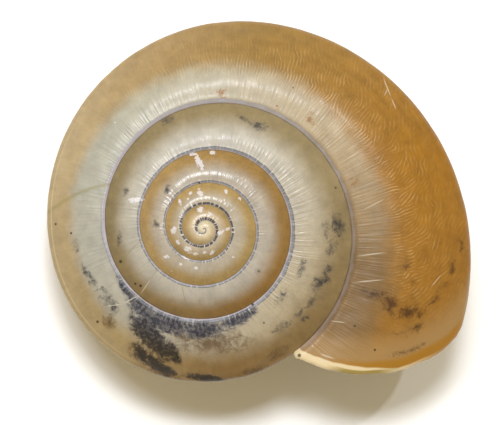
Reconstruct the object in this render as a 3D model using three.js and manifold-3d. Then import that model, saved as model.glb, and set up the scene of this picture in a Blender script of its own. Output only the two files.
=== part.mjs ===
// A land snail shell: one continuous wall coiled about five and a half turns, right-handed, with the
// aperture toward -Y, the spire up and the coil's outer edge marked by a blunt keel.
// Millimetres, +Z up. The shell stands on z = 0 on its basal lip and the base of the body whorl.
import * as THREE from 'three';
import { mergeVertices } from 'three/addons/utils/BufferGeometryUtils.js';
import Module from 'manifold-3d';

// Coil of the keel, in turns from the nucleus
const COIL_START = 0.6;
const STEPS_PER_TURN = 24;
const COIL_STEPS = 120;
const HOLLOW_STEPS = 64;
const PIECE_STEPS = 8;
const START_ANGLE = 162.4;
const TABLE_START = -0.5;

// Keel radius at every quarter turn, and keel height and base depth at every half turn
const KEEL_RADIUS = [
  0.05, 0.14, 0.28, 0.38, 0.47, 0.64, 0.92, 1.0, 1.09, 1.27, 1.6, 1.9, 2.09, 2.26, 2.65, 3.24, 3.45, 3.6, 4.08,
  5.2, 5.97, 6.1, 6.46, 8.65, 10.95, 12.1, 13,
];
const KEEL_HEIGHT = [0.02, -0.03, -0.1, -0.22, -0.36, -0.53, -0.75, -1.02, -1.36, -1.8, -2.38, -3.15, -4.3, -5.9];
const BASE_DEPTH = [0.1, 0.2, 0.36, 0.55, 0.76, 1, 1.3, 1.68, 2.2, 2.85, 3.6, 4.4, 4.95, 5.4];

// Upper surface of a whorl: fraction of the way from suture to keel, rise above the straight line as a
// fraction of the whorl's width, and how many degrees a growth line has fallen back behind the suture
const UPPER = [
  [-0.06, 0.015, 0],
  [0.1, 0.075, 2.4],
  [0.24, 0.135, 5.8],
  [0.4, 0.168, 9.6],
  [0.58, 0.168, 15],
  [0.79, 0.118, 22],
  [1, 0, 33],
];
// Under surface: radius as a fraction of the keel's, depth as a fraction of the base depth, and fall-back
const UNDER = [
  [0.99, 0.17, 37.5],
  [0.955, 0.4, 40.5],
  [0.89, 0.65, 43],
  [0.79, 0.86, 45],
  [0.66, 0.98, 46],
  [0.5, 0.99, 46],
  [0.35, 0.92, 45],
  [0.23, 0.8, 42],
  [0.14, 0.63, 39],
  [0.08, 0.4, 37],
];

const WALL_AT_LIP = 0.5;
const WALL_POWER = 0.7;
const NUCLEUS_RADIUS = 0.42;
const REST_TILT = 9.7;
const REST_TILT_TOWARD = 185.6;

const SHELL_COLOUR = 0xc3a36b;

function onTable(table, step, turn) {
  const x = (turn - TABLE_START) / step;
  const i = Math.min(Math.max(Math.floor(x), 0), table.length - 2);
  const f = x - i;
  const b = table[i];
  const c = table[i + 1];
  const a = i > 0 ? table[i - 1] : 2 * b - c;
  const d = i + 2 < table.length ? table[i + 2] : 2 * c - b;
  return b + 0.5 * f * (c - a + f * (2 * a - 5 * b + 4 * c - d + f * (3 * (b - c) + d - a)));
}

const keelRadius = (turn) => onTable(KEEL_RADIUS, 0.25, turn);
const keelHeight = (turn) => onTable(KEEL_HEIGHT, 0.5, turn);
const baseDepth = (turn) => onTable(BASE_DEPTH, 0.5, turn);

// One section around the whorl at a growth line, as [turn, radius, height] for each point, moved inward by
// `inset` of the wall
function section(turn, inset) {
  const rings = [];
  const at = (lag) => turn - lag / 360;
  for (const [f, rise, lag] of UPPER) {
    const t = at(lag);
    const inner = keelRadius(t - 1);
    const width = keelRadius(t) - inner;
    const z = keelHeight(t - 1) + f * (keelHeight(t) - keelHeight(t - 1)) + rise * width;
    rings.push([t, inner + f * width, z]);
  }
  for (const [f, depth, lag] of UNDER) {
    const t = at(lag);
    rings.push([t, f * keelRadius(t), keelHeight(t) - depth * baseDepth(t)]);
  }
  // The last point closes the section inside the whorl before
  const t = at(UNDER[UNDER.length - 1][2]);
  const before = keelHeight(t - 1) - 0.62 * baseDepth(t - 1);
  rings.push([t, 0.08 * keelRadius(t), before]);
  if (!inset) return rings;
  return rings.map(([t0, r, z], i) => {
    const p = rings[Math.max(i - 1, 0)];
    const n = rings[Math.min(i + 1, rings.length - 1)];
    const dr = n[1] - p[1];
    const dz = n[2] - p[2];
    const length = Math.hypot(dr, dz);
    const wall = WALL_AT_LIP * (keelRadius(t0) / 10.9) ** WALL_POWER;
    return [t0, r + (inset * wall * dz) / length, z - (inset * wall * dr) / length];
  });
}

function toPoint([turn, r, z]) {
  const angle = THREE.MathUtils.degToRad(START_ANGLE - 360 * turn);
  return [r * Math.cos(angle), r * Math.sin(angle), z];
}

const wasm = await Module();
wasm.setup();

function solid(geometry) {
  geometry.deleteAttribute('normal');
  geometry.deleteAttribute('uv');
  const merged = mergeVertices(geometry, 1e-5);
  return new wasm.Manifold(new wasm.Mesh({
    numProp: 3,
    vertProperties: new Float32Array(merged.attributes.position.array),
    triVerts: new Uint32Array(merged.index.array),
  }));
}

// A closed piece of the coil between two growth lines, counted in steps from the start of the coil
function tube(from, to, inset) {
  const rows = [];
  for (let i = from; i <= to; i++) rows.push(section(COIL_START + i / STEPS_PER_TURN, inset));
  const count = rows[0].length;
  const last = rows.length - 1;
  const points = rows.flat().map(toPoint);
  const index = [];
  for (let i = 0; i < last; i++) {
    for (let j = 0; j < count; j++) {
      const a = i * count + j;
      const b = i * count + ((j + 1) % count);
      index.push(a, a + count, b, b, a + count, b + count);
    }
  }
  // Each end closes as a fan about the middle of its growth line
  for (const end of [0, last]) {
    const middle = [0, 1, 2].map((k) => rows[end].reduce((sum, point) => sum + point[k], 0) / count);
    points.push(toPoint(middle));
    for (let j = 0; j < count; j++) {
      const a = end * count + j;
      const b = end * count + ((j + 1) % count);
      if (end === 0) index.push(points.length - 1, a, b);
      else index.push(points.length - 1, b, a);
    }
  }
  const geometry = new THREE.BufferGeometry();
  geometry.setAttribute('position', new THREE.Float32BufferAttribute(points.flat(), 3));
  geometry.setIndex(index);
  return solid(geometry);
}

// Build the coil from pieces that each stay clear of themselves and overlap by one step
const nucleus = new THREE.SphereGeometry(NUCLEUS_RADIUS, 16, 10);
nucleus.rotateX(Math.PI / 2);
nucleus.scale(1, 1, 0.55);
nucleus.translate(0, 0, keelHeight(-0.5) - 0.12);
let whorls = solid(nucleus);
const grown = [];
for (let from = 0; from < COIL_STEPS; from += PIECE_STEPS) {
  const to = from + PIECE_STEPS;
  whorls = whorls.add(tube(from, Math.min(to + 1, COIL_STEPS), 0));
  grown.push({ from, to, solid: whorls });
}

// The hollow runs back from the aperture and keeps off the whorls that came before it
let hollow = null;
for (const { from, to } of grown) {
  if (from < HOLLOW_STEPS) continue;
  const before = grown.find((g) => g.to === to - STEPS_PER_TURN + PIECE_STEPS);
  const room = tube(from, to + 1, 1).subtract(before.solid);
  hollow = hollow ? hollow.add(room) : room;
}
const shell = whorls.subtract(hollow);

const { vertProperties, triVerts } = shell.getMesh();
const geometry = new THREE.BufferGeometry();
geometry.setAttribute('position', new THREE.Float32BufferAttribute(Array.from(vertProperties), 3));
geometry.setIndex(Array.from(triVerts));

// Lean the coil the way it comes to rest, then stand it on z = 0 over the origin
const toward = THREE.MathUtils.degToRad(REST_TILT_TOWARD);
const axis = new THREE.Vector3(-Math.sin(toward), Math.cos(toward), 0);
geometry.applyMatrix4(new THREE.Matrix4().makeRotationAxis(axis, THREE.MathUtils.degToRad(REST_TILT)));
geometry.computeBoundingBox();
const { min, max } = geometry.boundingBox;
geometry.translate(-(min.x + max.x) / 2, -(min.y + max.y) / 2, -min.z);
geometry.computeVertexNormals();

const material = new THREE.MeshStandardMaterial({ color: SHELL_COLOUR, roughness: 0.4, metalness: 0 });
const mesh = new THREE.Mesh(geometry, material);
mesh.name = 'shell';

const snailShell = new THREE.Group();
snailShell.add(mesh);
export default snailShell;
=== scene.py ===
import math

import bpy
import numpy as np
from mathutils import Matrix, Vector


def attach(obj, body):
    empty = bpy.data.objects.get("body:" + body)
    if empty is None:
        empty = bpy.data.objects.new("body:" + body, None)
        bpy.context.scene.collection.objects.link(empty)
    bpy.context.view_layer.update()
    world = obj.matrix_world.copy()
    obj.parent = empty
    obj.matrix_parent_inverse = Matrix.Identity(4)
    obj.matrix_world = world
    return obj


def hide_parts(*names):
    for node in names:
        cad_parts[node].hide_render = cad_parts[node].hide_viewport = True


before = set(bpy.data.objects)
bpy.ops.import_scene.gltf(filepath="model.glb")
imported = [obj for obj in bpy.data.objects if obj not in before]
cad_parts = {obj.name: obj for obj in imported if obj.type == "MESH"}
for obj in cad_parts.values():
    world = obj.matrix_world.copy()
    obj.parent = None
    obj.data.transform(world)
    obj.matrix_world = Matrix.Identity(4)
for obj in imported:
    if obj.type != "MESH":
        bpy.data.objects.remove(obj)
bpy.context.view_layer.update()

MM = 0.001

# Sizes in millimetres and turns, with so many turns between two values of a list
RADIUS_STEP = 0.25
HEIGHT_STEP = 0.5
KEEL_RADIUS = [
    0.05, 0.14, 0.28, 0.38, 0.47, 0.64, 0.92, 1.0, 1.09, 1.27, 1.6, 1.9, 2.09, 2.26, 2.65, 3.24, 3.45,
    3.6, 4.08, 5.2, 5.97, 6.1, 6.46, 8.65, 10.95, 12.1, 13,
]
KEEL_HEIGHT = [
    0.02, -0.03, -0.1, -0.22, -0.36, -0.53, -0.75, -1.02, -1.36, -1.8, -2.38, -3.15, -4.3, -5.9,
]
BASE_DEPTH = [0.1, 0.2, 0.36, 0.55, 0.76, 1, 1.3, 1.68, 2.2, 2.85, 3.6, 4.4, 4.95, 5.4]
TABLE_START = -0.5
TABLE_REACH = -1.6
TABLE_END = 5.85
TIP_TURN = -1.1
LAST_TURN = 5.6
SAMPLES_PER_TURN = 200
START_ANGLE = math.radians(162.4)
REST_TILT = math.radians(9.7)
REST_TILT_TOWARD = math.radians(185.6)
REST_AXIS = (-math.sin(REST_TILT_TOWARD), math.cos(REST_TILT_TOWARD), 0)
WALL = 0.3
LARGEST_RADIUS = 10.9
# The wall thins toward the tip by this power of the radius, and the growth lines draw closer toward the lip
WALL_POWER = 0.7
ROW_POWER = 0.8
# Where along a section the two points lie that the hollow's far end closes between
END_POINTS = (0.28, 0.72)

# Upper face of a whorl: fraction out from the suture, rise over the whorl's width, and how many degrees
# a growth line has fallen back
UPPER = [
    (-0.06, -0.07, 0), (0, 0.014, 0.2), (0.04, 0.056, 1), (0.11, 0.084, 2.6), (0.24, 0.135, 5.8),
    (0.4, 0.168, 9.6), (0.58, 0.168, 15), (0.79, 0.118, 22), (0.92, 0.06, 27.5), (1, 0, 33),
]
# Under face: fraction of the keel's radius, fraction of the base depth, degrees fallen back
UNDER = [
    (0.99, 0.17, 37.5), (0.955, 0.4, 40.5), (0.89, 0.65, 43), (0.79, 0.86, 45), (0.66, 0.98, 46),
    (0.5, 0.99, 46), (0.35, 0.92, 45), (0.23, 0.8, 42), (0.14, 0.63, 39), (0.085, 0.4, 37),
    (0.075, 0.12, 36),
]
DEEPEST_OUT = 0.6
COLUMNS_PER_SPAN = 3


def spline(values, x):
    """Smooth curve through a list of numbers or tuples, at place x counted in entries."""
    i = min(max(math.floor(x), 0), len(values) - 2)
    f = x - i
    rows = [Vector(v) if isinstance(v, tuple) else v for v in values[max(i - 1, 0):i + 3]]
    if i == 0:
        rows.insert(0, rows[0] * 2 - rows[1])
    if len(rows) < 4:
        rows.append(rows[2] * 2 - rows[1])
    a, b, c, d = rows
    return b + (c - a + (a * 2 - b * 5 + c * 4 - d + ((b - c) * 3 + d - a) * f) * f) * (0.5 * f)


def keel_at(turn):
    """Radius, height and base depth of the keel at a turn, in metres, shrinking to a point at the tip."""
    t = max(turn, TABLE_START)
    fade = math.sqrt(min(1, max(0, (turn - TIP_TURN) / (TABLE_START - TIP_TURN))))
    radius = spline(KEEL_RADIUS, (t - TABLE_START) / RADIUS_STEP) * fade
    height = spline(KEEL_HEIGHT, (t - TABLE_START) / HEIGHT_STEP)
    depth = spline(BASE_DEPTH, (t - TABLE_START) / HEIGHT_STEP) * fade
    return Vector((radius, height, depth)) * MM


def point_table(name, columns):
    """A mesh of loose points that carries numbers for a node tree to read by index."""
    mesh = bpy.data.meshes.new(name)
    mesh.vertices.add(len(next(iter(columns.values()))))
    for key, values in columns.items():
        if isinstance(values[0], (int, float)):
            layer = mesh.attributes.new(key, "FLOAT", "POINT")
            layer.data.foreach_set("value", values)
        else:
            layer = mesh.attributes.new(key, "FLOAT_VECTOR", "POINT")
            layer.data.foreach_set("vector", [n for value in values for n in value])
    made = bpy.data.objects.new(name, mesh)
    bpy.context.scene.collection.objects.link(made)
    return made


def growth_steps():
    """Keel values for every small step of growth, and how many millimetres the keel has grown by then."""
    count = round((TABLE_END - TABLE_REACH) * SAMPLES_PER_TURN) + 1
    keels = [keel_at(TABLE_REACH + i / SAMPLES_PER_TURN) for i in range(count)]
    grown = [0.0]
    for before, now in zip(keels, keels[1:]):
        grown.append(grown[-1] + math.hypot(now.x * math.tau / SAMPLES_PER_TURN, now.x - before.x) / MM)
    return {"keel": keels, "grown": grown}


GROWTH = growth_steps()
GROWN_AT_LIP = GROWTH["grown"][round((LAST_TURN - TABLE_REACH) * SAMPLES_PER_TURN)]


def section_table():
    """Weights that turn this whorl's keel and the last one's into the points of one section.

    Across runs from 0 to 1 over the upper face, to 2 down the base and to 3 up the umbilicus.
    """
    weights = []
    for out, rise, lag in UPPER:
        weights.append((out, 1 - out, lag / 360, out, 1 - out, rise, 0, out))
    for out, drop, lag in UNDER:
        weights.append((out, 0, lag / 360, 1, 0, 0, drop, 1 + drop if out > DEEPEST_OUT else 3 - drop))
    spans = (len(weights) - 1) * COLUMNS_PER_SPAN
    parts = zip(*weights)
    smooth = [[spline(part, k / COLUMNS_PER_SPAN) for k in range(spans + 1)] for part in parts]
    return point_table(
        "section weights",
        {
            "radial": list(zip(*smooth[0:3])),
            "vertical": list(zip(*smooth[3:6])),
            "drop": smooth[6],
            "across": smooth[7],
        },
    )


def add(tree, kind, inputs=None, **settings):
    """Add a node with its settings, and give its inputs a value or another node's output."""
    made = tree.nodes.new(kind)
    for name, value in settings.items():
        if name == "stops":
            ramp = made.color_ramp
            for place, colour in value[1:-1]:
                ramp.elements.new(place)
            for element, (place, colour) in zip(ramp.elements, value):
                element.position = place
                element.color = linear(colour)
        else:
            setattr(made, name, value)
    for name, value in (inputs or {}).items():
        if isinstance(value, bpy.types.Node):
            value = next(socket for socket in value.outputs if socket.enabled)
        if isinstance(value, bpy.types.NodeSocket):
            tree.links.new(value, made.inputs[name])
        else:
            made.inputs[name].default_value = value
    return made


def linear(hex_colour):
    """An sRGB hex colour as linear RGBA."""
    parts = [int(hex_colour[i:i + 2], 16) / 255 for i in (1, 3, 5)]
    return (*(c / 12.92 if c <= 0.04045 else ((c + 0.055) / 1.055) ** 2.4 for c in parts), 1.0)


MATH = "ShaderNodeMath"
VECTOR = "ShaderNodeVectorMath"
RANGE = "ShaderNodeMapRange"
MIX = "ShaderNodeMix"
NOISE = "ShaderNodeTexNoise"
JOIN = "ShaderNodeCombineXYZ"
SPLIT = "ShaderNodeSeparateXYZ"
PICK = "GeometryNodeSampleIndex"
NAMED = "GeometryNodeInputNamedAttribute"
STORE = "GeometryNodeStoreNamedAttribute"
PLACE = "GeometryNodeSetPosition"


def read_growth_step(tree, given, name, step, kind):
    """A value from the growth table at any step, part-way between two rows of it as well."""
    value = add(tree, NAMED, {"Name": name}, data_type=kind)
    whole = add(tree, MATH, {0: step}, operation="FLOOR")
    following = add(tree, MATH, {0: whole, 1: 1.0}, operation="ADD")
    part = add(tree, MATH, {0: step}, operation="FRACT")
    table = {"Geometry": given["Growth Steps"], "Value": value}
    first = add(tree, PICK, {**table, "Index": whole}, data_type=kind, clamp=True)
    second = add(tree, PICK, {**table, "Index": following}, data_type=kind, clamp=True)
    if kind == "FLOAT":
        return add(tree, MIX, {0: part, 2: first, 3: second}, data_type="FLOAT")
    return add(tree, MIX, {0: part, 4: first, 5: second}, data_type="VECTOR")


def keel_after(tree, given, step, turns_back):
    """The keel's radius, height and base depth at a step of growth, one or no turns back."""
    then = add(tree, MATH, {0: step, 1: turns_back * SAMPLES_PER_TURN}, operation="SUBTRACT")
    keel = read_growth_step(tree, given, "keel", then, "FLOAT_VECTOR")
    return add(tree, SPLIT, {0: keel}).outputs


def outer_sheet(tree, given):
    """The bare outer face: growth line by growth line, closer together toward the lip."""
    columns = given["Columns"]
    rows = given["Rows"]
    index = add(tree, "GeometryNodeInputIndex")
    row = add(tree, "FunctionNodeIntegerMath", {0: index, 1: columns}, operation="DIVIDE_FLOOR")
    column = add(tree, "FunctionNodeIntegerMath", {0: index, 1: columns}, operation="MODULO")
    last = add(tree, MATH, {0: rows, 1: 1.0}, operation="SUBTRACT")
    part = add(tree, MATH, {0: row, 1: last}, operation="DIVIDE")
    eased = add(tree, MATH, {0: part, 1: ROW_POWER}, operation="POWER")
    even = add(tree, RANGE, {0: eased, 3: given["Tip Turn"], 4: given["Last Turn"]})

    section = add(tree, "GeometryNodeObjectInfo", {"Object": given["Section"]}).outputs["Geometry"]
    weight = {}
    for name, kind in (
        ("across", "FLOAT"), ("radial", "FLOAT_VECTOR"), ("vertical", "FLOAT_VECTOR"), ("drop", "FLOAT"),
    ):
        value = add(tree, NAMED, {"Name": name}, data_type=kind)
        table = {"Geometry": section, "Value": value, "Index": column}
        weight[name] = add(tree, PICK, table, data_type=kind, clamp=True)
    across = weight["across"]

    # The lip's edge is a little uneven, as where it has chipped
    chips = add(tree, NOISE, {"W": across, "Scale": 7.0, "Detail": 3.0}, noise_dimensions="1D")
    near = add(tree, RANGE, {0: eased, 1: 0.985, 2: 1.0, 3: 0.0, 4: given["Lip Unevenness"]})
    centred = add(tree, MATH, {0: chips.outputs[0], 1: 0.5}, operation="SUBTRACT")
    turn = add(tree, MATH, {0: centred, 1: near, 2: even}, operation="MULTIPLY_ADD")

    # Each point of the section is weighed out of this whorl's keel and the last one's
    lag = add(tree, SPLIT, {0: weight["radial"]}).outputs["Z"]
    spin = add(tree, MATH, {0: turn, 1: lag}, operation="SUBTRACT")
    reach = add(tree, MATH, {0: spin, 1: TABLE_REACH}, operation="SUBTRACT")
    step = add(tree, MATH, {0: reach, 1: SAMPLES_PER_TURN}, operation="MULTIPLY")
    now = keel_after(tree, given, step, 0)
    before = keel_after(tree, given, step, 1)
    radii = add(tree, JOIN, {0: now["X"], 1: before["X"]})
    breadth = add(tree, MATH, {0: now["X"], 1: before["X"]}, operation="SUBTRACT")
    heights = add(tree, JOIN, {0: now["Y"], 1: before["Y"], 2: breadth})
    out = add(tree, VECTOR, {0: radii, 1: weight["radial"]}, operation="DOT_PRODUCT").outputs["Value"]
    top = add(tree, VECTOR, {0: heights, 1: weight["vertical"]}, operation="DOT_PRODUCT").outputs["Value"]
    fall = add(tree, MATH, {0: weight["drop"], 1: now["Z"]}, operation="MULTIPLY")
    up = add(tree, MATH, {0: top, 1: fall}, operation="SUBTRACT")
    swing = add(tree, MATH, {0: spin, 1: -math.tau, 2: START_ANGLE}, operation="MULTIPLY_ADD")
    east, north = (
        add(tree, MATH, {0: out, 1: add(tree, MATH, {0: swing}, operation=way)}, operation="MULTIPLY")
        for way in ("COSINE", "SINE")
    )
    point = add(tree, JOIN, {0: east, 1: north, 2: up})
    grid = add(tree, "GeometryNodeMeshGrid", {"Vertices X": rows, "Vertices Y": columns}).outputs["Mesh"]
    sheet = add(tree, PLACE, {"Geometry": grid, "Position": point})

    # What the finish and the wall need to know at each point
    line = add(tree, MATH, {0: even, 1: TABLE_REACH}, operation="SUBTRACT")
    line = add(tree, MATH, {0: line, 1: SAMPLES_PER_TURN}, operation="MULTIPLY")
    grown = read_growth_step(tree, given, "grown", line, "FLOAT")
    course = read_growth_step(tree, given, "grown", step, "FLOAT")
    breadth_mm = add(tree, MATH, {0: breadth, 1: 1 / MM}, operation="MULTIPLY")
    size = add(tree, MATH, {0: now["X"], 1: LARGEST_RADIUS * MM}, operation="DIVIDE")
    slower = add(tree, MATH, {0: size, 1: WALL_POWER}, operation="POWER")
    wall = add(tree, MATH, {0: slower, 1: given["Wall"]}, operation="MULTIPLY")
    kept = {
        "turn": turn, "spin": spin, "grown": grown, "course": course, "across": across,
        "breadth": breadth_mm, "wall": wall,
    }
    for name, value in kept.items():
        sheet = add(tree, STORE, {"Geometry": sheet, "Name": name, "Value": value})
    return sheet


def whole_wall(tree, given, sheet):
    """The wall: out along the coil, round the lip and back inside, its seam, tip and far end closed."""
    columns = given["Columns"]
    around = add(tree, MATH, {0: columns, 1: 1.0}, operation="ADD")
    index = add(tree, "GeometryNodeInputIndex")
    row = add(tree, "FunctionNodeIntegerMath", {0: index, 1: around}, operation="DIVIDE_FLOOR")
    ring = add(tree, "FunctionNodeIntegerMath", {0: index, 1: around}, operation="MODULO")
    column = add(tree, "FunctionNodeIntegerMath", {0: ring, 1: columns}, operation="MODULO")
    outside = add(tree, MATH, {0: given["Rows"], 1: 1.0}, operation="SUBTRACT")
    outside_and_lip = add(tree, MATH, {0: given["Rows"], 1: given["Lip Rows"]}, operation="ADD")
    all_rows = add(tree, MATH, {0: outside_and_lip, 1: given["Inner Rows"]}, operation="ADD")
    over = add(tree, MATH, {0: row, 1: outside}, operation="SUBTRACT")
    past = add(tree, MATH, {0: over, 1: 0.0}, operation="MAXIMUM")
    deeper = add(tree, MATH, {0: past, 1: given["Lip Rows"]}, operation="SUBTRACT")
    inside = add(tree, MATH, {0: deeper, 1: 0.0}, operation="MAXIMUM")
    reached = add(tree, MATH, {0: row, 1: outside}, operation="MINIMUM")
    source_row = add(tree, MATH, {0: reached, 1: inside}, operation="SUBTRACT")
    source = add(tree, MATH, {0: source_row, 1: columns, 2: column}, operation="MULTIPLY_ADD")
    one_back = add(tree, MATH, {0: source, 1: columns}, operation="SUBTRACT")
    first = add(tree, MATH, {0: source, 1: column}, operation="SUBTRACT")
    upper_at = add(tree, MATH, {0: columns, 1: END_POINTS[0], 2: first}, operation="MULTIPLY_ADD")
    under_at = add(tree, MATH, {0: columns, 1: END_POINTS[1], 2: first}, operation="MULTIPLY_ADD")

    # What the outer sheet has at the points that this one is made from
    position = add(tree, "GeometryNodeInputPosition")
    facing = add(tree, "GeometryNodeInputNormal")
    thick = add(tree, NAMED, {"Name": "wall"}, data_type="FLOAT")
    wall = add(tree, PICK, {"Geometry": sheet, "Value": thick, "Index": source}, clamp=True)
    here, behind, normal, upper_point, under_point = (
        add(
            tree, PICK, {"Geometry": sheet, "Value": value, "Index": at},
            data_type="FLOAT_VECTOR", clamp=True,
        )
        for value, at in (
            (position, source), (position, one_back), (facing, source),
            (position, upper_at), (position, under_at),
        )
    )

    # The lip folds over in half a circle
    share = add(tree, MATH, {0: past, 1: given["Lip Rows"]}, operation="DIVIDE")
    share = add(tree, MATH, {0: share, 1: 1.0}, operation="MINIMUM")
    fold = add(tree, MATH, {0: share, 1: math.pi}, operation="MULTIPLY")
    cosine, sine = (add(tree, MATH, {0: fold}, operation=way) for way in ("COSINE", "SINE"))
    inward = add(tree, MATH, {0: cosine, 1: -0.5, 2: 0.5}, operation="MULTIPLY_ADD")
    depth = add(tree, MATH, {0: wall, 1: inward}, operation="MULTIPLY")
    sunk = add(tree, MATH, {0: depth, 1: -1.0}, operation="MULTIPLY")
    swell = add(tree, MATH, {0: wall, 1: 0.5}, operation="MULTIPLY")
    swell = add(tree, MATH, {0: swell, 1: sine}, operation="MULTIPLY")
    stride = add(tree, VECTOR, {0: here, 1: behind}, operation="SUBTRACT")
    forward = add(tree, VECTOR, {0: stride}, operation="NORMALIZE")
    sink = add(tree, VECTOR, {0: normal, "Scale": sunk}, operation="SCALE")
    bulge = add(tree, VECTOR, {0: forward, "Scale": swell}, operation="SCALE")
    lowered = add(tree, VECTOR, {0: here, 1: sink}, operation="ADD")
    placed = add(tree, VECTOR, {0: lowered, 1: bulge}, operation="ADD")

    # The hollow's far end runs to one point, out of sight inside the whorl
    middle = add(tree, MIX, {0: 0.5, 4: upper_point, 5: under_point}, data_type="VECTOR")
    final_row = add(tree, MATH, {0: all_rows, 1: 1.5}, operation="SUBTRACT")
    is_end = add(tree, MATH, {0: row, 1: final_row}, operation="GREATER_THAN")
    finished = add(tree, MIX, {0: is_end, 4: placed, 5: middle}, data_type="VECTOR")
    grid = add(tree, "GeometryNodeMeshGrid", {"Vertices X": all_rows, "Vertices Y": around}).outputs["Mesh"]
    shell = add(tree, PLACE, {"Geometry": grid, "Position": finished})
    for name in ("turn", "spin", "grown", "course", "across", "breadth"):
        old = add(tree, NAMED, {"Name": name}, data_type="FLOAT")
        value = add(tree, PICK, {"Geometry": sheet, "Value": old, "Index": source}, clamp=True)
        shell = add(tree, STORE, {"Geometry": shell, "Name": name, "Value": value})
    shell = add(tree, STORE, {"Geometry": shell, "Name": "lining", "Value": inward})
    in_mm = add(tree, VECTOR, {0: position, "Scale": 1 / MM}, operation="SCALE")
    shell = add(
        tree, STORE, {"Geometry": shell, "Name": "coil", "Value": in_mm}, data_type="FLOAT_VECTOR"
    )
    return add(tree, "GeometryNodeMergeByDistance", {"Geometry": shell, "Distance": 0.0001 * MM})


def growth_wrinkles(tree, given, shell):
    """Low wrinkles along the growth lines, smaller on the smaller whorls."""
    grown, across, turn, lining = (
        add(tree, NAMED, {"Name": name}, data_type="FLOAT")
        for name in ("grown", "across", "turn", "lining")
    )
    stretched = add(tree, MATH, {0: across, 1: 1.1}, operation="MULTIPLY")
    along = add(tree, JOIN, {0: grown, 1: stretched, 2: given["Seed"]})
    wrinkle = add(tree, NOISE, {"Vector": along, "Scale": 1.3, "Detail": 3.0}).outputs["Fac"]
    height = add(tree, MATH, {0: wrinkle, 1: 0.5}, operation="SUBTRACT")
    ripe = add(tree, RANGE, {0: turn, 1: 1.0, 2: 5.0, 3: 0.1, 4: 1.0})
    bare = add(tree, MATH, {0: 1.0, 1: lining}, operation="SUBTRACT")
    for share in (given["Wrinkle Height"], ripe, bare):
        height = add(tree, MATH, {0: height, 1: share}, operation="MULTIPLY")
    facing = add(tree, "GeometryNodeInputNormal")
    lift = add(tree, VECTOR, {0: facing, "Scale": height}, operation="SCALE")
    return add(tree, PLACE, {"Geometry": shell, "Offset": lift})


def set_at_rest(tree, shell):
    """Lean to the resting pose and stand on z = 0 over the origin."""
    position = add(tree, "GeometryNodeInputPosition")
    leant = add(
        tree, "ShaderNodeVectorRotate", {0: position, "Axis": REST_AXIS, "Angle": REST_TILT},
        rotation_type="AXIS_ANGLE",
    )
    shell = add(tree, PLACE, {"Geometry": shell, "Position": leant})
    box = add(tree, "GeometryNodeBoundBox", {"Geometry": shell})
    corners = add(tree, VECTOR, {0: box.outputs["Min"], 1: box.outputs["Max"]}, operation="ADD")
    middle = add(tree, VECTOR, {0: corners, "Scale": -0.5}, operation="SCALE")
    across = add(tree, SPLIT, {0: middle}).outputs
    lowest = add(tree, SPLIT, {0: box.outputs["Min"]}).outputs["Z"]
    raised = add(tree, MATH, {0: lowest, 1: -1.0}, operation="MULTIPLY")
    shift = add(tree, JOIN, {0: across["X"], 1: across["Y"], 2: raised})
    return add(tree, PLACE, {"Geometry": shell, "Offset": shift})


def coil_tree():
    """Sweep the section along the coil and give it a wall."""
    tree = bpy.data.node_groups.new("coil a shell wall", "GeometryNodeTree")
    sizes = {
        "Geometry": ["Growth Steps"],
        "Object": ["Section"],
        "Int": ["Rows", "Lip Rows", "Inner Rows", "Columns"],
        "Float": ["Tip Turn", "Last Turn", "Wall", "Wrinkle Height", "Lip Unevenness", "Seed"],
        "Material": ["Material"],
    }
    for kind, names in sizes.items():
        for name in names:
            tree.interface.new_socket(name, in_out="INPUT", socket_type="NodeSocket" + kind)
    tree.interface.new_socket("Shell", in_out="OUTPUT", socket_type="NodeSocketGeometry")
    given = add(tree, "NodeGroupInput").outputs
    shell = whole_wall(tree, given, outer_sheet(tree, given))
    shell = growth_wrinkles(tree, given, shell)
    shell = set_at_rest(tree, shell)
    shell = add(tree, "GeometryNodeSetShadeSmooth", {"Geometry": shell})
    shell = add(tree, "GeometryNodeRealizeInstances", {"Geometry": shell})
    shell = add(tree, "GeometryNodeSetMaterial", {"Geometry": shell, "Material": given["Material"]})
    add(tree, "NodeGroupOutput", {"Shell": shell})
    return tree


def make_shell(material):
    """Grow the shell from its two tables and keep it as a plain mesh with its marks."""
    growth = point_table("growth steps", GROWTH)
    section = section_table()
    modifier = growth.modifiers.new("coil", "NODES")
    modifier.node_group = coil_tree()
    values = {
        "Section": section, "Rows": 1150, "Lip Rows": 8, "Inner Rows": 330,
        "Columns": len(section.data.vertices), "Tip Turn": TIP_TURN, "Last Turn": LAST_TURN,
        "Wall": WALL * MM, "Wrinkle Height": 0.05 * MM, "Lip Unevenness": 0.006, "Seed": 3.0,
        "Material": material,
    }
    for item in modifier.node_group.interface.items_tree:
        if item.in_out == "INPUT" and item.name in values:
            modifier[item.identifier] = values[item.name]
    bpy.context.view_layer.update()
    evaluated = growth.evaluated_get(bpy.context.evaluated_depsgraph_get())
    mesh = bpy.data.meshes.new_from_object(evaluated)
    mark_stains(mesh)
    shell = bpy.data.objects.new("coiled_shell", mesh)
    bpy.context.scene.collection.objects.link(shell)
    for spare in (growth, section):
        bpy.data.objects.remove(spare)
    return shell


# The picture's own numbers: where the coil's axis stands in it, and its scale
PX_PER_MM = 25
AXIS_PX = (205, 229.3)
IMAGE_PX = (500, 425)

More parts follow.
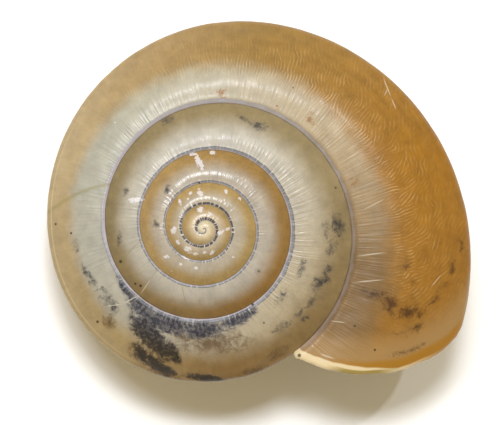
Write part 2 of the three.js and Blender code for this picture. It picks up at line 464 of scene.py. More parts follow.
# Marks by place in the picture: x, y, half length, half width, turn in degrees. First the dark stain
STAINS = [
    (238, 317, 26, 10, 26), (203, 327, 32, 13, 3), (168, 320, 28, 15, -22), (144, 305, 26, 14, -44),
    (126, 286, 18, 6, -60), (147, 328, 26, 17, -50), (158, 343, 26, 13, -56), (174, 351, 18, 7, -62),
    (142, 353, 16, 8, -50), (163, 368, 22, 7, -25), (206, 377, 28, 5, -8), (154, 360, 16, 6, -50),
]
RUSTY_STAINS = [
    (214, 341, 52, 18, 4), (182, 333, 26, 11, -28), (110, 321, 12, 9, -60), (142, 354, 22, 14, -50),
    (161, 371, 28, 9, -25), (252, 371, 20, 8, 15), (278, 352, 18, 7, 34),
]
FAINT_STAINS = [
    (77.5, 247, 12, 5, 100), (87, 270, 13, 5, -62), (94, 281, 12, 5, -55), (102, 289, 10, 3.4, 10),
    (110, 303, 18, 11, -50), (337, 226, 24, 10, -80), (326, 229, 14, 6, -80), (319, 282, 20, 11, 42),
    (327, 268, 11, 7, 50), (301, 267, 17, 6, 70), (280, 297, 16, 7, 50), (298, 309, 12, 3.4, 60),
    (304, 317, 7, 6, 0), (281, 326, 16, 6, 30), (241, 118, 12, 3, -18), (257, 126, 17, 7, -12),
    (157, 224, 6, 7, 0), (168, 190, 8, 5, 60), (258, 270, 5, 5, 0), (127, 193, 5, 8, 0),
    (121, 240, 4, 13, 0), (168, 121, 11, 6, 30), (330, 248, 14, 7, 75), (312, 300, 12, 5, 55),
]

# Brown marks under the last quarter's skin, and the thin dark line along its lip
BROWN_MARKS = [
    (390, 304, 20, 12, -55), (407, 312, 25, 11, 3), (370, 293, 22, 7, -15), (433, 298, 10, 6, 35),
    (444, 282, 10, 5, -20), (460, 246, 13, 4, -75), (453, 265, 14, 4, 80), (415, 277, 14, 5, 75),
    (406, 264, 9, 5, 45), (415, 327, 11, 4, 35), (405, 334, 15, 4, 0), (440, 246, 7, 4, 0),
    (392, 353, 24, 2.2, 4), (418, 347.5, 16, 2.0, 25),
]

# Rusty freckles on the pale band near the suture
FRECKLES = [(222, 93, 16, 12, 0), (277, 106, 10, 14, 0), (310, 119, 16, 12, -40), (352, 180, 10, 10, 0)]

# White flakes of dried skin
FLAKES = [
    (200, 163, 10, 4, -64), (194, 155, 5, 2.4, 0), (213, 153.5, 4, 2.4, -10), (137, 200, 10, 3, 6),
    (200.7, 193.3, 6, 3, -70), (191.5, 193.3, 2.4, 1.6, 40), (226.6, 192, 3, 2, -60),
    (240, 199, 2.4, 1.6, -50), (181, 202, 4, 1.8, -70), (201, 209.5, 4, 3.4, 0),
    (210.5, 213.7, 3, 1.6, -40), (174.7, 230, 4.4, 3.4, 70), (179, 241.7, 3.4, 2.4, -60),
    (189, 249, 5, 4, -40), (196, 253, 4, 2, -10), (205.6, 252, 2.4, 2, 0), (213, 251.6, 4, 1.8, 45),
    (186, 257, 5, 1.4, -30), (221, 232, 4.4, 2.4, 30), (228, 229, 4, 1.8, 30),
    (167.7, 256, 3.2, 2.4, 0), (181.7, 263.5, 2, 1.6, 0), (197, 267, 2.2, 2, 0),
    (233.6, 256, 1.8, 1.4, 0),
]

# Dark specks: x, y, radius
SPECKS = [
    (200, 183, 1.6), (299, 354.4, 2.4), (374, 349, 1.6), (354, 325, 1.4), (56.6, 224, 1.6),
    (72.5, 233, 1.6), (136.5, 283, 1.6), (141.8, 285, 2.0), (122, 261, 2.2), (98.5, 321, 1.8),
    (252.5, 303.5, 1.8), (335, 188, 1.3),
]

# Fine pale lines: scratches, and painted glints of reflection by the last quarter's suture; x, y of both
# ends and half width
SCRATCHES_AND_GLINTS = [
    (105, 306, 124, 303, 0.8), (124, 303, 141, 294, 0.8), (141, 294, 153, 277, 0.7),
    (383, 77, 391, 98, 0.8), (391, 98, 396, 110, 0.7), (388, 88, 384, 96, 0.6),
    (355, 256, 386, 252, 0.8), (352, 282, 384, 279, 0.8), (330, 320, 345, 322, 0.7),
    (362, 210, 384, 199, 0.7), (320, 353, 334, 358, 1.0), (431, 286, 441, 274, 0.5),
]

# Yellow growth marks, all in turns: place at the suture, lean over a whorl's width, half width
GROWTH_MARKS = [
    (5.022, -0.055, 0.004), (3.925, -0.045, 0.0025), (3.765, -0.045, 0.0025), (3.84, -0.02, 0.00175),
]


def place_of(x, y):
    """A place in the picture as millimetres from the coil's axis."""
    return ((x - AXIS_PX[0]) / PX_PER_MM, (AXIS_PX[1] - y) / PX_PER_MM)


TOP_ENDS_ACROSS = 1.15


def mark_stains(mesh):
    """Keep on each point how deep it lies inside the nearest mark of a kind: 1 in its middle, 0 outside.

    Marks are on top of the whorls only, from the turn that is given with their kind.
    """
    count = len(mesh.vertices)
    spin, across = np.empty(count), np.empty(count)
    mesh.attributes["spin"].data.foreach_get("value", spin)
    mesh.attributes["across"].data.foreach_get("value", across)
    flat = np.empty(count * 3)
    mesh.attributes["coil"].data.foreach_get("vector", flat)
    along, beside = flat[0::3], flat[1::3]
    for name, marks, from_spin in (
        ("stain", STAINS, 4.5), ("rusty", RUSTY_STAINS, 4.5), ("faint", FAINT_STAINS, 2),
        ("brown", BROWN_MARKS, 5), ("freckle", FRECKLES, 4.9),
    ):
        deepest = np.zeros(count)
        for x, y, length, width, turned in marks:
            x, y = place_of(x, y)
            c, s = math.cos(math.radians(turned)), math.sin(math.radians(turned))
            u = ((along - x) * c + (beside - y) * s) / length
            v = ((beside - y) * c - (along - x) * s) / width
            deepest = np.maximum(deepest, 1 - np.hypot(u, v) * PX_PER_MM)
        deepest[(across > TOP_ENDS_ACROSS) | (spin < from_spin)] = 0
        mesh.attributes.new(name, "FLOAT", "POINT").data.foreach_set("value", deepest)


def nearest(tree, vector, marks):
    """How deep inside the nearest of a set of ovals a point lies: 1 in its middle, 0 outside."""
    deepest = 0.0
    for x, y, length, width, turned in marks:
        oval_size = (length / PX_PER_MM, width / PX_PER_MM, 1)
        turned_by = (0, 0, math.radians(turned))
        local = add(
            tree, "ShaderNodeMapping",
            {0: vector, "Location": (*place_of(x, y), 0), "Rotation": turned_by, "Scale": oval_size},
            vector_type="TEXTURE",
        )
        oval = add(tree, "ShaderNodeTexGradient", {0: local}, gradient_type="SPHERICAL")
        deepest = add(tree, MATH, {0: oval.outputs["Fac"], 1: deepest}, operation="MAXIMUM")
    return deepest


def read_growth(tree):
    """Where a point lies along the coil, across the whorl and in the coil's space, and its fine grain."""
    on = {}
    for name in (
        "spin", "grown", "course", "across", "breadth", "lining", "stain", "faint", "rusty", "brown",
        "freckle",
    ):
        on[name] = add(tree, "ShaderNodeAttribute", attribute_name=name).outputs["Fac"]
    on["coil"] = add(tree, "ShaderNodeAttribute", attribute_name="coil").outputs["Vector"]
    on["flat"] = add(tree, VECTOR, {0: on["coil"], 1: (1, 1, 0)}, operation="MULTIPLY")
    on["girth"] = add(tree, MATH, {0: on["across"], 1: on["breadth"]}, operation="MULTIPLY")
    on["top"] = add(tree, RANGE, {0: on["across"], 1: 1.05, 2: 1.25, 3: 1.0, 4: 0.0})
    fine = {"Vector": on["coil"], "Scale": 7.0, "Detail": 4.0, "Roughness": 0.6}
    on["fine"] = add(tree, NOISE, fine).outputs["Fac"]
    return on


# How many turns the two bands' lists of colours cover
TURNS_OF_COLOUR = 6


def two_bands(tree, on):
    """A pale inner and a horn-brown outer band, each changing as the animal grew."""
    age = add(tree, MATH, {0: on["spin"], 1: 1 / TURNS_OF_COLOUR}, operation="MULTIPLY")
    inner = add(
        tree, "ShaderNodeValToRGB", {0: age},
        stops=[
            (0.0, "#e2d4b8"), (0.17, "#c9b698"), (0.25, "#c0b098"), (0.33, "#b6a993"),
            (0.42, "#b4a996"), (0.55, "#b0a596"), (0.66, "#b6b0a2"), (0.71, "#bdb7aa"),
            (0.76, "#b2a488"), (0.82, "#aeab9e"), (0.845, "#b0aea0"), (0.87, "#b6ac94"),
            (0.888, "#b8a686"), (0.902, "#a48c68"), (0.915, "#7e623a"), (1.0, "#a88458"),
        ],
    ).outputs["Color"]
    outer = add(
        tree, "ShaderNodeValToRGB", {0: age},
        stops=[
            (0.0, "#e0d2b4"), (0.15, "#a88e5e"), (0.25, "#b09666"), (0.33, "#ab8f5a"),
            (0.42, "#b09662"), (0.5, "#a98c58"), (0.6, "#94703a"), (0.66, "#8a7952"),
            (0.73, "#9b8b68"), (0.78, "#886a3c"), (0.8, "#aa9468"), (0.84, "#b7a27c"),
            (0.875, "#997941"), (0.9, "#a06f20"), (0.92, "#9c6e2a"), (1.0, "#b8843c"),
        ],
    ).outputs["Color"]
    ragged = add(tree, NOISE, {"Vector": on["coil"], "Scale": 1.1, "Detail": 4.0}).outputs["Fac"]
    ragged = add(tree, MATH, {0: ragged, 1: 0.5}, operation="SUBTRACT")
    across = add(tree, MATH, {0: ragged, 1: 0.2, 2: on["across"]}, operation="MULTIPLY_ADD")
    comb = add(tree, RANGE, {0: on["spin"], 1: 5.0, 2: 5.3, 3: 0.0, 4: -0.22})
    across = add(tree, MATH, {0: on["ripple"], 1: comb, 2: across}, operation="MULTIPLY_ADD")
    edge = add(tree, RANGE, {0: on["spin"], 1: 5.0, 2: 5.35, 3: 0.57, 4: 0.24})
    soft = add(tree, RANGE, {0: on["spin"], 1: 4.55, 2: 4.88, 3: 0.27, 4: 0.13})
    low = add(tree, MATH, {0: edge, 1: soft}, operation="SUBTRACT")
    high = add(tree, MATH, {0: edge, 1: soft}, operation="ADD")
    beyond = add(tree, RANGE, {0: across, 1: low, 2: high}, interpolation_type="SMOOTHSTEP")
    colour = add(tree, MIX, {0: beyond, 6: inner, 7: outer}, data_type="RGBA")

    # Paler toward the middle of the base
    base = add(tree, RANGE, {0: on["across"], 1: 1.3, 2: 2.1}, interpolation_type="SMOOTHSTEP")
    base = add(tree, MATH, {0: base, 1: 0.75}, operation="MULTIPLY")
    return add(tree, MIX, {0: base, 6: colour, 7: linear("#c8b48c")}, data_type="RGBA"), beyond


def cloud_and_fibres(tree, on, colour, beyond):
    """Uneven thickness: soft clouds, hair-fine fibres along the growth lines, grain, and streaks along
    the coil on the outer half of the last quarter."""
    narrow = add(tree, MATH, {0: on["girth"], 1: 0.5}, operation="MULTIPLY")
    fibre_place = add(tree, JOIN, {0: on["course"], 1: narrow, 2: 1.0})
    fibre_strength = add(tree, MATH, {0: beyond, 1: 0.12, 2: 0.12}, operation="MULTIPLY_ADD")
    lengthwise = add(tree, MATH, {0: on["course"], 1: 0.12}, operation="MULTIPLY")
    streak_place = add(tree, JOIN, {0: lengthwise, 1: on["girth"], 2: 3.0})
    late = add(tree, RANGE, {0: on["spin"], 1: 5.1, 2: 5.3, 3: 0.0, 4: 0.45})
    outward = add(tree, RANGE, {0: on["across"], 1: 0.4, 2: 0.6})
    streak_strength = add(tree, MATH, {0: late, 1: outward}, operation="MULTIPLY")
    soft = {"Vector": on["coil"], "Scale": 1.6, "Detail": 5.0, "Roughness": 0.6}
    cloud = add(tree, NOISE, soft).outputs["Fac"]
    shade = add(tree, RANGE, {0: cloud, 1: 0.3, 2: 0.7, 3: 0.86, 4: 1.1})
    for place, scale, detail, strength in (
        (fibre_place, 5.5, 2.0, fibre_strength), (on["coil"], 9.0, 3.0, 0.14),
        (streak_place, 4.0, 3.0, streak_strength),
    ):
        uneven = add(tree, NOISE, {"Vector": place, "Scale": scale, "Detail": detail}).outputs["Fac"]
        uneven = add(tree, MATH, {0: uneven, 1: 0.5}, operation="SUBTRACT")
        shade = add(tree, MATH, {0: uneven, 1: strength, 2: shade}, operation="MULTIPLY_ADD")
    return add(tree, VECTOR, {0: colour, "Scale": shade}, operation="SCALE")


def vein_pattern(tree, on):
    """Pale wavy veins 0.16 mm apart, across the last quarter and bending along it toward the keel."""
    field = add(tree, JOIN, {0: on["course"], 1: on["girth"]})
    bend = add(tree, NOISE, {"Vector": on["flat"], "Scale": 1.4, "Detail": 1.0}).outputs["Fac"]
    lean_out = add(tree, RANGE, {0: on["across"], 1: 0.36, 2: 0.66, 3: 0.0, 4: 1.0})
    lean_late = add(tree, RANGE, {0: on["spin"], 1: 5.2, 2: 5.42, 3: 0.0, 4: 1.0})
    lean = add(tree, MATH, {0: lean_out, 1: lean_late}, operation="MULTIPLY")
    turned = add(tree, MATH, {0: lean, 1: 1.1, 2: 0.12}, operation="MULTIPLY_ADD")
    wobble = add(tree, MATH, {0: bend, 1: 0.5}, operation="SUBTRACT")
    angle = add(tree, MATH, {0: wobble, 1: 2.6, 2: turned}, operation="MULTIPLY_ADD")
    on["ripple"] = add(
        tree, "ShaderNodeTexGabor",
        {"Vector": field, "Scale": 2.4, "Frequency": 2.7, "Anisotropy": 0.94, 4: angle},
    ).outputs["Value"]
    line = add(tree, RANGE, {0: on["ripple"], 1: 0.46, 2: 0.76}, interpolation_type="SMOOTHSTEP")
    begins = add(tree, RANGE, {0: on["spin"], 1: 4.96, 2: 5.3, 3: 0.0, 4: 1.0})
    ends = add(tree, RANGE, {0: on["spin"], 1: 5.485, 2: 5.535, 3: 1.0, 4: 0.0})
    inner_edge = add(tree, RANGE, {0: on["spin"], 1: 5.0, 2: 5.5, 3: 0.45, 4: 0.25})
    inner_done = add(tree, MATH, {0: inner_edge, 1: 0.12}, operation="ADD")
    starts = add(tree, RANGE, {0: on["across"], 1: inner_edge, 2: inner_done})
    fades = add(tree, RANGE, {0: on["across"], 1: 0.5, 2: 0.9, 3: 1.0, 4: 0.2})
    patchy = add(tree, NOISE, {"Vector": on["flat"], "Scale": 1.8, "Detail": 3.0}).outputs["Fac"]
    patchy = add(tree, RANGE, {0: patchy, 1: 0.36, 2: 0.62, 3: 0.15, 4: 1.0})
    reach = begins
    for limit in (ends, starts, fades, patchy, line):
        reach = add(tree, MATH, {0: reach, 1: limit}, operation="MULTIPLY")
    return reach


def suture_parts(tree, on):
    """The grey band beside each suture, the white ticks across it, the dark line under its edge, and
    painted shade where the next whorl overhangs.
    """
    wander = add(tree, NOISE, {"Vector": on["coil"], "Scale": 2.4, "Detail": 2.0}).outputs["Fac"]
    centred = add(tree, MATH, {0: wander, 1: 0.5}, operation="SUBTRACT")
    across = add(tree, MATH, {0: centred, 1: 0.04, 2: on["across"]}, operation="MULTIPLY_ADD")
    early = add(tree, RANGE, {0: on["spin"], 1: 1.3, 2: 2.7, 3: 0.19, 4: 0.058})
    nucleus = add(tree, RANGE, {0: on["spin"], 1: 0.6, 2: 1.1, 3: 0.4, 4: 1.0})
    late = add(tree, RANGE, {0: on["spin"], 1: 5.05, 2: 5.42, 3: 1.0, 4: 0.32})
    width = add(tree, MATH, {0: early, 1: late}, operation="MULTIPLY")
    width = add(tree, MATH, {0: nucleus, 1: width}, operation="MULTIPLY")
    width_end = add(tree, MATH, {0: width, 1: 0.014}, operation="ADD")
    band = add(tree, RANGE, {0: across, 1: width, 2: width_end, 3: 1.0, 4: 0.0})
    from_line = add(tree, MATH, {0: across, 1: width}, operation="SUBTRACT")
    distance = add(tree, MATH, {0: from_line}, operation="ABSOLUTE")
    line = add(tree, RANGE, {0: distance, 1: 0.004, 2: 0.016, 3: 1.0, 4: 0.0})
    rim = add(tree, RANGE, {0: across, 1: 0.008, 2: 0.024, 3: 1.0, 4: 0.0})
    where = add(tree, JOIN, {0: on["course"], 1: 0.0, 2: 0.0})
    beaded = {"Vector": where, "Scale": 5.5, "Detail": 3.0, "Roughness": 0.6}
    beads = add(tree, NOISE, beaded).outputs["Fac"]
    tick = add(tree, RANGE, {0: beads, 1: 0.52, 2: 0.6})
    tick_end = add(tree, MATH, {0: width, 1: 0.08}, operation="ADD")
    tick_reach = add(tree, RANGE, {0: across, 1: width, 2: tick_end, 3: 1.0, 4: 0.0})
    young = add(tree, RANGE, {0: on["spin"], 1: 2.3, 2: 3.4, 3: 1.0, 4: 0.4})
    before_last = add(tree, RANGE, {0: on["spin"], 1: 4.7, 2: 5.0, 3: 1.0, 4: 0.0})
    for limit in (tick_reach, before_last, young):
        tick = add(tree, MATH, {0: tick, 1: limit}, operation="MULTIPLY")
    # Painted shade on each whorl's outer edge, just under the next whorl that overhangs it
    shade = add(tree, RANGE, {0: across, 1: 0.955, 2: 0.99})
    covered = add(tree, RANGE, {0: on["spin"], 1: 4.585, 2: 4.6, 3: 1.0, 4: 0.0})
    only_top = add(tree, RANGE, {0: across, 1: 1.02, 2: 1.1, 3: 1.0, 4: 0.0})
    for limit in (covered, only_top):
        shade = add(tree, MATH, {0: shade, 1: limit}, operation="MULTIPLY")
    return {"band": band, "line": line, "rim": rim, "tick": tick, "painted crease shade": shade, "patch": beads}


def stain_parts(tree, on):
    """Mottled stains with soft brown rims, and fainter and browner ones."""
    torn_edge = {"Vector": on["coil"], "Scale": 3.2, "Detail": 6.0, "Roughness": 0.76, "Distortion": 0.5}
    mottle = add(tree, NOISE, torn_edge).outputs["Fac"]
    worn = add(tree, MATH, {0: mottle, 1: 0.5}, operation="SUBTRACT")
    parts = {}
    for name, depth, torn, low, high, amount in (
        ("rim", on["stain"], 1.8, 0.0, 0.4, 0.7), ("core", on["stain"], 2.2, 0.12, 0.52, 1.0),
        ("faint", on["faint"], 3.4, 0.12, 1.25, 0.95), ("brown", on["brown"], 3.0, 0.04, 1.1, 0.95),
        ("rusty", on["rusty"], 3.0, 0.04, 1.05, 0.85), ("freckle", on["freckle"], 6.0, 0.6, 1.5, 1.0),
    ):
        gate = add(tree, RANGE, {0: depth, 1: 0.0, 2: 0.3, 3: 0.0, 4: torn})
        field = add(tree, MATH, {0: worn, 1: gate, 2: depth}, operation="MULTIPLY_ADD")
        shape = {0: field, 1: low, 2: high, 3: 0.0, 4: amount}
        parts[name] = add(tree, RANGE, shape, interpolation_type="SMOOTHSTEP")
    return parts


def skin_layers(tree, on, veins, back):
    """Tan behind the lip, pale veins, and the stains with paler mottling in their dark cores."""
    tan = add(tree, RANGE, {0: back, 1: 1.0, 2: 3.2, 3: 0.8, 4: 0.0}, interpolation_type="SMOOTHSTEP")
    vein_amount = add(tree, MATH, {0: veins, 1: 0.46}, operation="MULTIPLY")
    stains = stain_parts(tree, on)
    outward = add(tree, RANGE, {0: on["across"], 1: 0.25, 2: 0.6})
    solid = add(tree, RANGE, {0: outward, 3: 0.4, 4: 0.74})
    broken = add(tree, RANGE, {0: on["fine"], 1: 0.46, 2: 0.62, 3: 0.95, 4: solid})
    core = add(tree, MATH, {0: stains["core"], 1: broken}, operation="MULTIPLY")
    core_colour = add(tree, MIX, {0: outward, 6: linear("#2c2c38"), 7: linear("#2e2a26")}, data_type="RGBA")
    rim_colour = add(tree, MIX, {0: outward, 6: linear("#6a676c"), 7: linear("#6a5436")}, data_type="RGBA")
    unstained = add(tree, RANGE, {0: stains["core"], 3: 1.0, 4: 0.25})
    return unstained, [
        (tan, linear("#ab8a5a")), (vein_amount, linear("#dcb87c")), (stains["rusty"], linear("#60482c")),
        (stains["rim"], rim_colour), (core, core_colour), (stains["faint"], linear("#38383e")),
        (stains["brown"], linear("#4a2e18")), (stains["freckle"], linear("#966a34")),
    ]


def suture_layers(tree, on, suture, unstained):
    """Grey band, dark line, pale rim, white ticks, and a brown line of painted shade on the whorl before,
    under the next whorl's edge.
    """
    older = add(tree, RANGE, {0: on["spin"], 1: 2.4, 2: 2.75})
    latest = add(tree, RANGE, {0: on["spin"], 1: 4.8, 2: 5.0})
    colour = add(tree, MIX, {0: older, 6: linear("#221c1c"), 7: linear("#84868e")}, data_type="RGBA")
    colour = add(tree, MIX, {0: latest, 6: colour, 7: linear("#b2adb2")}, data_type="RGBA")
    low = add(tree, RANGE, {0: latest, 1: 0.0, 2: 1.0, 3: 0.84, 4: 0.95})
    patch = add(tree, RANGE, {0: suture["patch"], 1: 0.35, 2: 0.65, 3: low, 4: 1.08})
    colour = add(tree, VECTOR, {0: colour, "Scale": patch}, operation="SCALE")
    lavender = add(tree, RANGE, {0: on["spin"], 1: 5.22, 2: 5.44, 3: 0.85, 4: 0.15})
    band_strength = add(tree, MATH, {0: lavender, 1: unstained}, operation="MULTIPLY")
    line_strength = add(tree, RANGE, {0: latest, 1: 0.0, 2: 1.0, 3: 0.72, 4: 0.2})
    layers = []
    # The last layer is painted shade, in brown, under the next whorl's edge
    for name, strength, over in (
        ("band", band_strength, colour), ("line", line_strength, linear("#56555c")),
        ("rim", lavender, linear("#c8c2c8")), ("tick", 0.82, linear("#e4e0e0")),
        ("painted crease shade", 0.7, linear("#56381a")),
    ):
        layers.append((add(tree, MATH, {0: suture[name], 1: strength}, operation="MULTIPLY"), over))
    return layers


def growth_mark_layers(tree, on):
    """Thin yellow lines where growth paused."""
    layers = []
    for spin, lean, half_width in GROWTH_MARKS:
        leant = add(tree, MATH, {0: on["across"], 1: -lean, 2: on["spin"]}, operation="MULTIPLY_ADD")
        off = add(tree, MATH, {0: leant, 1: spin}, operation="SUBTRACT")
        off = add(tree, MATH, {0: off}, operation="ABSOLUTE")
        mark = add(tree, RANGE, {0: off, 1: 0.0, 2: half_width, 3: 0.5, 4: 0.0})
        mark = add(tree, MATH, {0: mark, 1: on["top"]}, operation="MULTIPLY")
        layers.append((mark, linear("#8f8748")))
    return layers


def lip_layers(tree, on, back):
    """The lip's orange band and pale edge, and the olive of its deeper part."""
    orange = add(tree, RANGE, {0: back, 1: 0.5, 2: 0.95, 3: 0.9, 4: 0.0}, interpolation_type="SMOOTHSTEP")
    outer_lip = add(tree, RANGE, {0: on["across"], 1: 0.12, 2: 0.42, 3: 0.15, 4: 1.0})
    orange = add(tree, MATH, {0: orange, 1: outer_lip}, operation="MULTIPLY")
    cream_from = add(tree, RANGE, {0: on["across"], 1: 0.4, 2: 0.66, 3: 0.36, 4: 0.06})
    cream_to = add(tree, MATH, {0: cream_from, 1: 0.1}, operation="ADD")
    cream = add(tree, RANGE, {0: back, 1: cream_from, 2: cream_to, 3: 0.9, 4: 0.0})
    cream_ends = add(tree, RANGE, {0: on["across"], 1: 0.66, 2: 0.9, 3: 1.0, 4: 0.1})
    cream = add(tree, MATH, {0: cream, 1: cream_ends}, operation="MULTIPLY")
    deeper = add(tree, RANGE, {0: back, 1: 0.1, 2: 0.17, 3: 0.9, 4: 0.0})
    for span in ({1: 0.22, 2: 0.34}, {1: 0.55, 2: 0.7, 3: 1.0, 4: 0.0}):
        limit = add(tree, RANGE, {0: on["across"], **span})
        deeper = add(tree, MATH, {0: deeper, 1: limit}, operation="MULTIPLY")
    return [(orange, linear("#a9771e")), (cream, linear("#e8d6ae")), (deeper, linear("#9a843a"))]


def loose_layers(tree, on):
    """White flakes, dark specks, fine scratches and painted glints in their places, and sparse specks all
    over.
    """
    flake = nearest(tree, on["flat"], FLAKES)
    gate = add(tree, RANGE, {0: flake, 1: 0.0, 2: 0.2, 3: 0.0, 4: 2.6})
    torn = add(tree, NOISE, {"Vector": on["coil"], "Scale": 12.0, "Detail": 2.0}).outputs["Fac"]
    torn = add(tree, MATH, {0: torn, 1: 0.5}, operation="SUBTRACT")
    flake = add(tree, MATH, {0: torn, 1: gate, 2: flake}, operation="MULTIPLY_ADD")
    flake = add(tree, RANGE, {0: flake, 1: 0.1, 2: 0.4, 4: 0.75}, interpolation_type="SMOOTHSTEP")
    dark_speck = nearest(tree, on["flat"], [(x, y, wide, wide, 0) for x, y, wide in SPECKS])
    dark_speck = add(tree, RANGE, {0: dark_speck, 1: 0.05, 2: 0.5, 3: 0.0, 4: 0.85})
    scratch_and_glint_marks = []
    for x0, y0, x1, y1, half_width in SCRATCHES_AND_GLINTS:
        length = math.hypot(x1 - x0, y1 - y0) / 2 + 1
        turned = math.degrees(math.atan2(y0 - y1, x1 - x0))
        scratch_and_glint_marks.append(((x0 + x1) / 2, (y0 + y1) / 2, length, half_width, turned))
    # Scratches, with painted glints of reflection among them
    scratch_and_glint = nearest(tree, on["flat"], scratch_and_glint_marks)
    scratch_and_glint = add(tree, RANGE, {0: scratch_and_glint, 1: 0.0, 2: 0.5, 3: 0.0, 4: 0.5})
    layers = []
    for mark, over in ((flake, "#e6e2e6"), (dark_speck, "#241810"), (scratch_and_glint, "#e2d8c4")):
        layers.append((add(tree, MATH, {0: mark, 1: on["top"]}, operation="MULTIPLY"), linear(over)))

    # The sparse ones are white on the young whorls and mostly brown on the others
    cells = add(tree, "ShaderNodeTexVoronoi", {"Vector": on["coil"], "Scale": 1.7})
    chosen = add(tree, SPLIT, {0: cells.outputs["Color"]}).outputs
    rare = add(tree, RANGE, {0: on["spin"], 1: 2.2, 2: 3.6, 3: 0.3, 4: 0.88})
    size = add(tree, RANGE, {0: chosen["X"], 1: rare, 2: 1.0, 3: 0.0, 4: 0.1})
    inside = add(tree, MATH, {0: size, 1: cells.outputs["Distance"]}, operation="SUBTRACT")
    speck = add(tree, RANGE, {0: inside, 1: 0.0, 2: 0.02, 3: 0.0, 4: 0.75})
    share = add(tree, RANGE, {0: on["spin"], 1: 2.4, 2: 4.2, 3: 0.92, 4: 0.3})
    white = add(tree, MATH, {0: share, 1: chosen["Y"]}, operation="GREATER_THAN")
    either = add(tree, MIX, {0: white, 6: linear("#4a2e16"), 7: linear("#e2ded8")}, data_type="RGBA")
    return [*layers, (speck, either)]


def keel_thread_and_rim_light(tree, on):
    """A pale line just above the keel of the body whorl, where it forms the outline: partly a keel thread,
    partly painted rim light.
    """
    # Partly painted rim light along the outline, drawn as a pale thread
    from_keel = add(tree, MATH, {0: on["across"], 1: 0.925}, operation="SUBTRACT")
    from_keel = add(tree, MATH, {0: from_keel}, operation="ABSOLUTE")
    thread = add(tree, RANGE, {0: from_keel, 1: 0.003, 2: 0.014, 3: 0.36, 4: 0.0})
    for span in ({1: 4.74, 2: 4.86}, {1: 4.98, 2: 5.1, 3: 1.0, 4: 0.0}):
        limit = add(tree, RANGE, {0: on["spin"], **span})
        thread = add(tree, MATH, {0: thread, 1: limit}, operation="MULTIPLY")
    return [(thread, linear("#e0d4b0"))]


def lining_layers(tree, on, back):
    """The inside is smooth and milky, with the outer tan showing through."""
    lining = add(tree, RANGE, {0: on["lining"], 1: 0.55, 2: 1.0, 3: 0.0, 4: 0.8})
    deep = add(tree, RANGE, {0: back, 1: 0.3, 2: 3.0})
    milky = add(tree, MIX, {0: deep, 6: linear("#e8cf98"), 7: linear("#cdbb9c")}, data_type="RGBA")
    return [(lining, milky)]


def skin_relief(tree, on, tick):
    """Growth threads 0.14 mm apart, fine pitting and raised ticks at the suture."""
    along = add(tree, MATH, {0: on["girth"], 1: 0.07}, operation="MULTIPLY")
    leaning = add(tree, MIX, {0: 0.15, 2: on["course"], 3: on["grown"]}, data_type="FLOAT")
    thread = add(tree, JOIN, {0: leaning, 1: along, 2: 5.0})
    threads = add(tree, NOISE, {"Vector": thread, "Scale": 7.0, "Detail": 1.0}).outputs["Fac"]
    for place, from_here, to_here, first, last in (
        ("across", 0.35, 0.65, 1.0, 0.35), ("spin", 4.8, 5.3, 1.0, 0.5), ("spin", 3.2, 3.6, 0.5, 1.0),
    ):
        low = add(tree, RANGE, {0: on[place], 1: from_here, 2: to_here, 3: first, 4: last})
        threads = add(tree, MATH, {0: threads, 1: low}, operation="MULTIPLY")
    relief = add(tree, MATH, {0: on["fine"], 1: 0.05, 2: threads}, operation="MULTIPLY_ADD")
    relief = add(tree, MATH, {0: tick, 1: 0.3, 2: relief}, operation="MULTIPLY_ADD")
    bump = add(tree, "ShaderNodeBump", {"Height": relief, "Strength": 0.8, "Distance": 0.034 * MM})
    return bump.outputs["Normal"]


# The colours above are as the lit shell shows them, so the skin itself is this much darker
SKIN_TONE = 0.84


def shell_material():
    """Horny skin, dried thin over a coiled aragonite wall: silky gloss, light sinking a little way in."""
    made = bpy.data.materials.new("dried horny skin over aragonite")
    made.use_nodes = True
    tree = made.node_tree
    on = read_growth(tree)
    veins = vein_pattern(tree, on)
    colour, beyond = two_bands(tree, on)
    colour = cloud_and_fibres(tree, on, colour, beyond)
    suture = suture_parts(tree, on)
    back = add(tree, MATH, {0: GROWN_AT_LIP, 1: on["grown"]}, operation="SUBTRACT")
    unstained, stained = skin_layers(tree, on, veins, back)
    for amount, over in (
        *stained, *suture_layers(tree, on, suture, unstained), *growth_mark_layers(tree, on),
        *lip_layers(tree, on, back), *loose_layers(tree, on), *keel_thread_and_rim_light(tree, on),
        *lining_layers(tree, on, back),
    ):
        colour = add(tree, MIX, {0: amount, 6: colour, 7: over}, data_type="RGBA")
    toned = add(tree, VECTOR, {0: colour, "Scale": SKIN_TONE}, operation="SCALE").outputs["Vector"]
    duller = add(tree, RANGE, {0: on["spin"], 1: 3.2, 2: 3.8, 3: 0.0, 4: 0.14})
    gloss = add(tree, RANGE, {0: on["fine"], 1: 0.3, 2: 0.7, 3: 0.2, 4: 0.32})
    gloss = add(tree, MATH, {0: gloss, 1: duller}, operation="ADD").outputs["Value"]
    relief = skin_relief(tree, on, suture["tick"])
    surface = tree.nodes["Principled BSDF"]
    for name, result in (
        ("Base Color", toned), ("Roughness", gloss), ("Normal", relief), ("Coat Normal", relief),
    ):
        tree.links.new(result, surface.inputs[name])
    for name, value in (
        ("IOR", 1.53), ("Specular IOR Level", 0.25), ("Coat Weight", 0.08), ("Coat Roughness", 0.15),
        ("Subsurface Weight", 0.3), ("Subsurface Radius", (1.0, 0.75, 0.45)),
        ("Subsurface Scale", 0.3 * MM),
    ):
        surface.inputs[name].default_value = value
    return made


shell = make_shell(shell_material())
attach(shell, "root")
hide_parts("shell")

# White paper, matt, so that it shows nothing but the shadow
bpy.ops.mesh.primitive_plane_add(size=2)
floor = bpy.context.object
floor.name = "paper"
paper = bpy.data.materials.new("white paper")
paper.use_nodes = True
matt = paper.node_tree.nodes["Principled BSDF"].inputs
matt["Base Color"].default_value = linear("#fafafa")
matt["Roughness"].default_value = 0.9
floor.data.materials.append(paper)

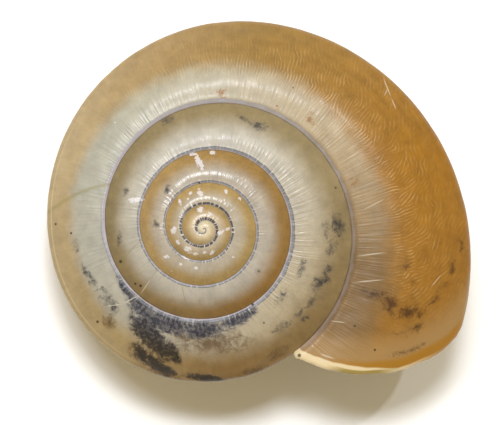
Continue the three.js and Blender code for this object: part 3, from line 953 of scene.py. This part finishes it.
# Camera: straight down the coil's axis, whose origin is found again from a sample of the points.
# The picture's scale holds for the keel, this far below the tip
LENS = 400
SENSOR = 36
KEEL_BELOW_TIP = 3.8
SAMPLE_EVERY = 997
lean = Matrix.Rotation(REST_TILT, 4, Vector(REST_AXIS))
coil = shell.data.attributes["coil"].data
sampled = range(0, len(coil), SAMPLE_EVERY)
here = Vector((0, 0, 0))
for i in sampled:
    here += shell.data.vertices[i].co - lean @ (Vector(coil[i].vector) * MM)
coil_origin = here / len(sampled)
distance = IMAGE_PX[0] / PX_PER_MM * LENS / SENSOR - KEEL_BELOW_TIP
stand = Vector((*place_of(IMAGE_PX[0] / 2, IMAGE_PX[1] / 2), distance)) * MM
camera_data = bpy.data.cameras.new("camera")
camera_data.lens = LENS
camera_data.sensor_width = SENSOR
camera_data.clip_start = 0.01
camera = bpy.data.objects.new("camera", camera_data)
camera.matrix_world = Matrix.Translation(coil_origin) @ lean @ Matrix.Translation(stand)
bpy.context.scene.collection.objects.link(camera)
bpy.context.scene.camera = camera

# Plain colours, as the photograph has them
bpy.context.scene.view_settings.view_transform = "Standard"

# A warm surround, brighter overhead
world = bpy.data.worlds.new("surround")
world.use_nodes = True
sky = world.node_tree
direction = add(sky, "ShaderNodeTexCoord").outputs["Generated"]
height = add(sky, SPLIT, {0: direction}).outputs["Z"]
overhead = add(sky, RANGE, {0: height, 1: 0.3, 2: 0.85})
surround = add(sky, MIX, {0: overhead, 6: linear("#e0c890"), 7: linear("#ffefc9")}, data_type="RGBA")
sky.links.new(surround.outputs[2], sky.nodes["Background"].inputs["Color"])
sky.nodes["Background"].inputs["Strength"].default_value = 0.5
bpy.context.scene.world = world


AIM = Vector((0, 0, 0.004))


def soft_light(name, place, size, watts, colour):
    """A square lamp that faces the middle of the shell."""
    data = bpy.data.lights.new(name, "AREA")
    data.size = size
    data.energy = watts
    data.color = linear(colour)[:3]
    lamp = bpy.data.objects.new(name, data)
    lamp.location = place
    lamp.rotation_euler = (AIM - Vector(place)).to_track_quat("-Z", "Y").to_euler()
    bpy.context.scene.collection.objects.link(lamp)


# Two broad lamps high behind, and a small one whose reflection is a thin bright line
soft_light("high light", (-0.12, 0.3, 0.9), 0.16, 5.7, "#f4f8ff")
soft_light("high left light", (-0.28, 0.29, 0.9), 0.16, 3.4, "#f4f8ff")
soft_light("side sparkle", (0.27, 0.41, 0.9), 0.03, 1.6, "#fbfcff")
